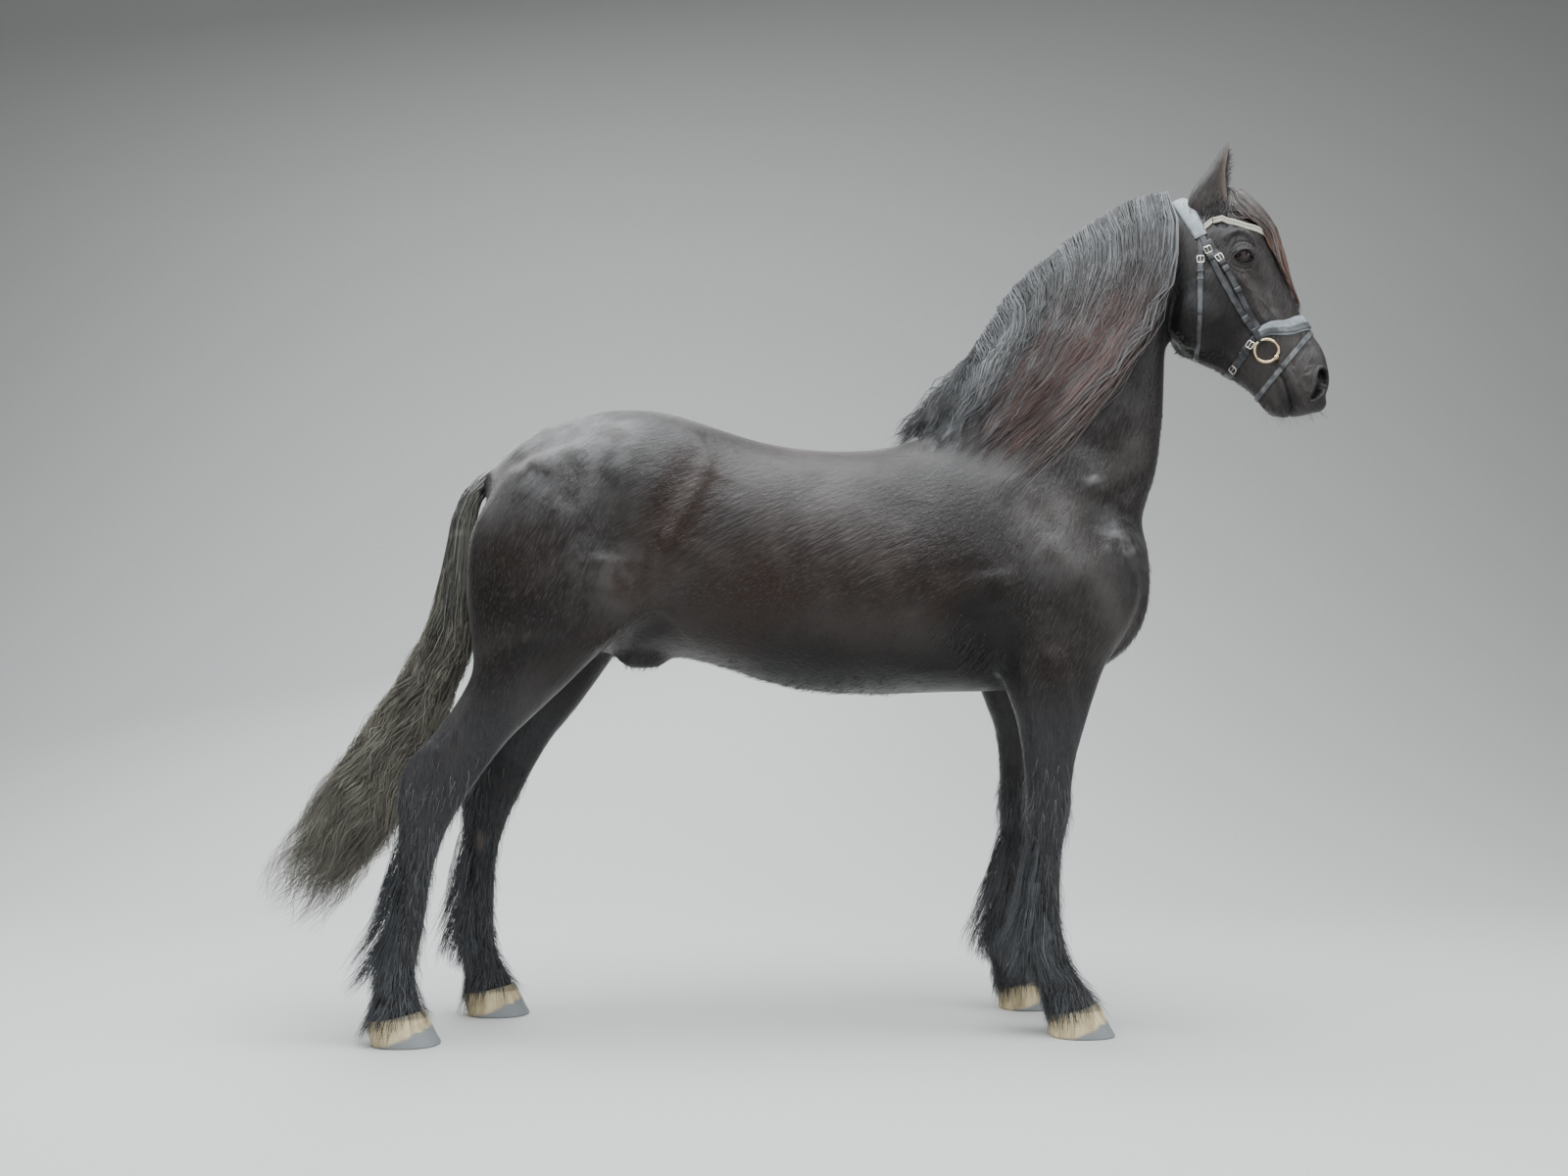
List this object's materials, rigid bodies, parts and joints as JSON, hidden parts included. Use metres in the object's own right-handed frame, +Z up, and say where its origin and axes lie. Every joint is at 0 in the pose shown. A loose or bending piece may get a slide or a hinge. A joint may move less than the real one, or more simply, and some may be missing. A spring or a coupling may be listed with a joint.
{
  "type": "friesian horse",
  "caption": "Life-size friesian horse standing square and alert, head turned a little to its right, with a long mane, feathered feet and a bridle without reins.",
  "frame": {"origin": "on the ground under the middle of the bounding box", "axes": "+X forward towards the head, +Y to the horse's left, +Z up"},
  "size_m": [2.8334, 0.6314, 2.378],
  "materials": {
    "coat": "short, flat, glossy black-brown hair",
    "mane_and_coat": "long, crimped black-grey mane over short glossy black hair",
    "tail_hair": "long, crimped olive-grey hair",
    "hoof": "pale, dull horn with a blue-grey rim at the ground",
    "eye": "wet dark brown",
    "leather": "smooth black leather",
    "padding": "soft blue-grey padded leather",
    "braid": "pale braided cord with a soft gloss",
    "brass": "polished brass"
  },
  "bodies": {
    "root": {"bit_ring_left": "brass", "bit_ring_right": "brass", "bridle_browband": "braid", "bridle_cheekpiece_left": "leather", "bridle_cheekpiece_right": "leather", "bridle_crownpiece": "padding", "bridle_flash_strap": "leather", "bridle_jaw_strap": "leather", "bridle_noseband": "padding", "bridle_noseband_hanger_left": "leather", "bridle_noseband_hanger_right": "leather", "bridle_throatlatch": "leather", "buckle_cheekpiece_left": "brass", "buckle_cheekpiece_right": "brass", "buckle_jaw_strap_left": "brass", "buckle_jaw_strap_right": "brass", "buckle_throatlatch_left": "brass", "buckle_throatlatch_right": "brass", "cannon_fore_left": "coat", "cannon_fore_right": "coat", "cannon_hind_left": "coat", "cannon_hind_right": "coat", "ear_left": "coat", "ear_right": "coat", "eye_left": "eye", "eye_right": "eye", "forearm_left": "coat", "forearm_right": "coat", "gaskin_left": "coat", "gaskin_right": "coat", "head": "coat", "hoof_fore_left": "hoof", "hoof_fore_right": "hoof", "hoof_hind_left": "hoof", "hoof_hind_right": "hoof", "neck": "mane_and_coat", "tail": "tail_hair", "torso": "coat"}
  },
  "joints": []
}
